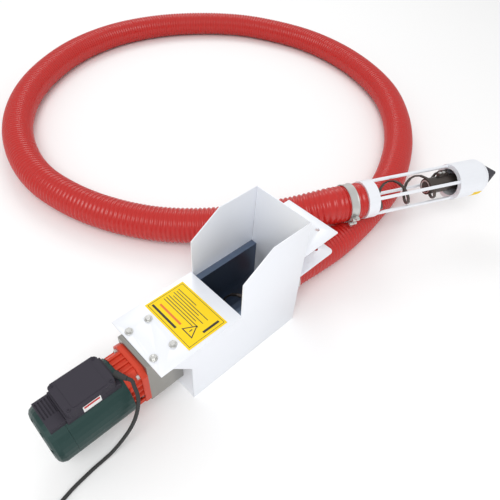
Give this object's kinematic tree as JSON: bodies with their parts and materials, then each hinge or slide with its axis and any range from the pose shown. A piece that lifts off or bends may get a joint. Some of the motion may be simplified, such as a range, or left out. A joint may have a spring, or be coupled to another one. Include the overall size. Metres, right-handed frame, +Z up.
{
  "type": "grain auger",
  "caption": "Hose grain auger with a geared motor, a hooded sheet-metal discharge box, a long ribbed hose and a caged intake head.",
  "frame": {"origin": "centre of the discharge box's underside", "axes": "+X from the motor towards the hose outlet, along the drive shaft; +Z up; +Y to the left of +X, towards the inside of the hose loop"},
  "size_m": [1.7351, 1.604, 0.2735],
  "materials": {
    "white_paint": "smooth white powder coat",
    "trough_steel": "dark worn sheet steel",
    "zinc": "bright zinc plate",
    "steel": "ground and machined steel",
    "cast": "cast aluminium, dull grey",
    "orange_paint": "glossy orange-red paint",
    "green_paint": "dark green enamel",
    "black_plastic": "fine-grained black plastic",
    "dark_rubber": "soft dark rubber",
    "hose_red": "glossy ribbed red hose",
    "label_yellow": "printed yellow vinyl label",
    "spiral_steel": "oiled dark spring steel",
    "core_steel": "laminated steel with varnish"
  },
  "bodies": {
    "frame": {"bearing_block": "cast", "block_bearing_1": "steel", "block_bearing_2": "steel", "box_shell": "white_paint", "cable": "dark_rubber", "cable_coil": "dark_rubber", "cable_gland": "dark_rubber", "cage_rod_1": "white_paint", "cage_rod_2": "white_paint", "cage_rod_3": "white_paint", "cage_rod_4": "white_paint", "cone_tip": "black_plastic", "control_base": "black_plastic", "control_cover": "black_plastic", "control_screw_1": "black_plastic", "control_screw_2": "black_plastic", "control_screw_3": "black_plastic", "control_screw_4": "black_plastic", "cover_bolt_1": "zinc", "cover_bolt_2": "zinc", "cover_bolt_3": "zinc", "cover_bolt_4": "zinc", "cover_label": "label_yellow", "cover_plate": "white_paint", "end_bearing": "steel", "end_cap": "green_paint", "end_wall": "white_paint", "flange_bolt_1": "zinc", "flange_bolt_2": "zinc", "front_bearing": "steel", "front_shield": "cast", "gear_housing": "orange_paint", "hose": "hose_red", "intake_band": "zinc", "intake_bolt": "zinc", "intake_cap": "white_paint", "intake_collar": "white_paint", "lower_lug": "white_paint", "motor_shell": "green_paint", "motor_wall": "white_paint", "outlet_band": "zinc", "outlet_bolt": "zinc", "outlet_pipe": "zinc", "plug": "black_plastic", "rear_bearing": "steel", "rear_hood": "black_plastic", "rear_spider": "steel", "shaft_seal": "dark_rubber", "stator": "core_steel", "trough": "trough_steel", "upper_lug": "white_paint"},
    "armature": {"motor_shaft": "steel", "rotor": "core_steel", "pinion": "steel", "fan": "black_plastic"},
    "drive_screw": {"output_shaft": "steel", "driven_gear": "steel", "drive_spiral": "spiral_steel"},
    "intake_screw": {"end_shaft": "spiral_steel", "intake_spiral": "spiral_steel"}
  },
  "joints": [
    {"name": "armature_spin", "type": "hinge", "parent": "frame", "child": "armature", "pos_m": [-0.29, 0, 0.086], "axis": [1, 0, 0], "continuous": true},
    {"name": "drive_spin", "type": "hinge", "parent": "frame", "child": "drive_screw", "pos_m": [-0.1, 0, 0.058], "axis": [1, 0, 0], "continuous": true},
    {"name": "intake_spin", "type": "hinge", "parent": "frame", "child": "intake_screw", "pos_m": [0.4164, -0.0006, 0.131], "axis": [0.9123, -0.4095, 0], "continuous": true}
  ],
  "couplings": [
    {"joint": "drive_spin", "follows": "armature_spin", "ratio": -0.33333},
    {"joint": "intake_spin", "follows": "armature_spin", "ratio": -0.33333}
  ]
}
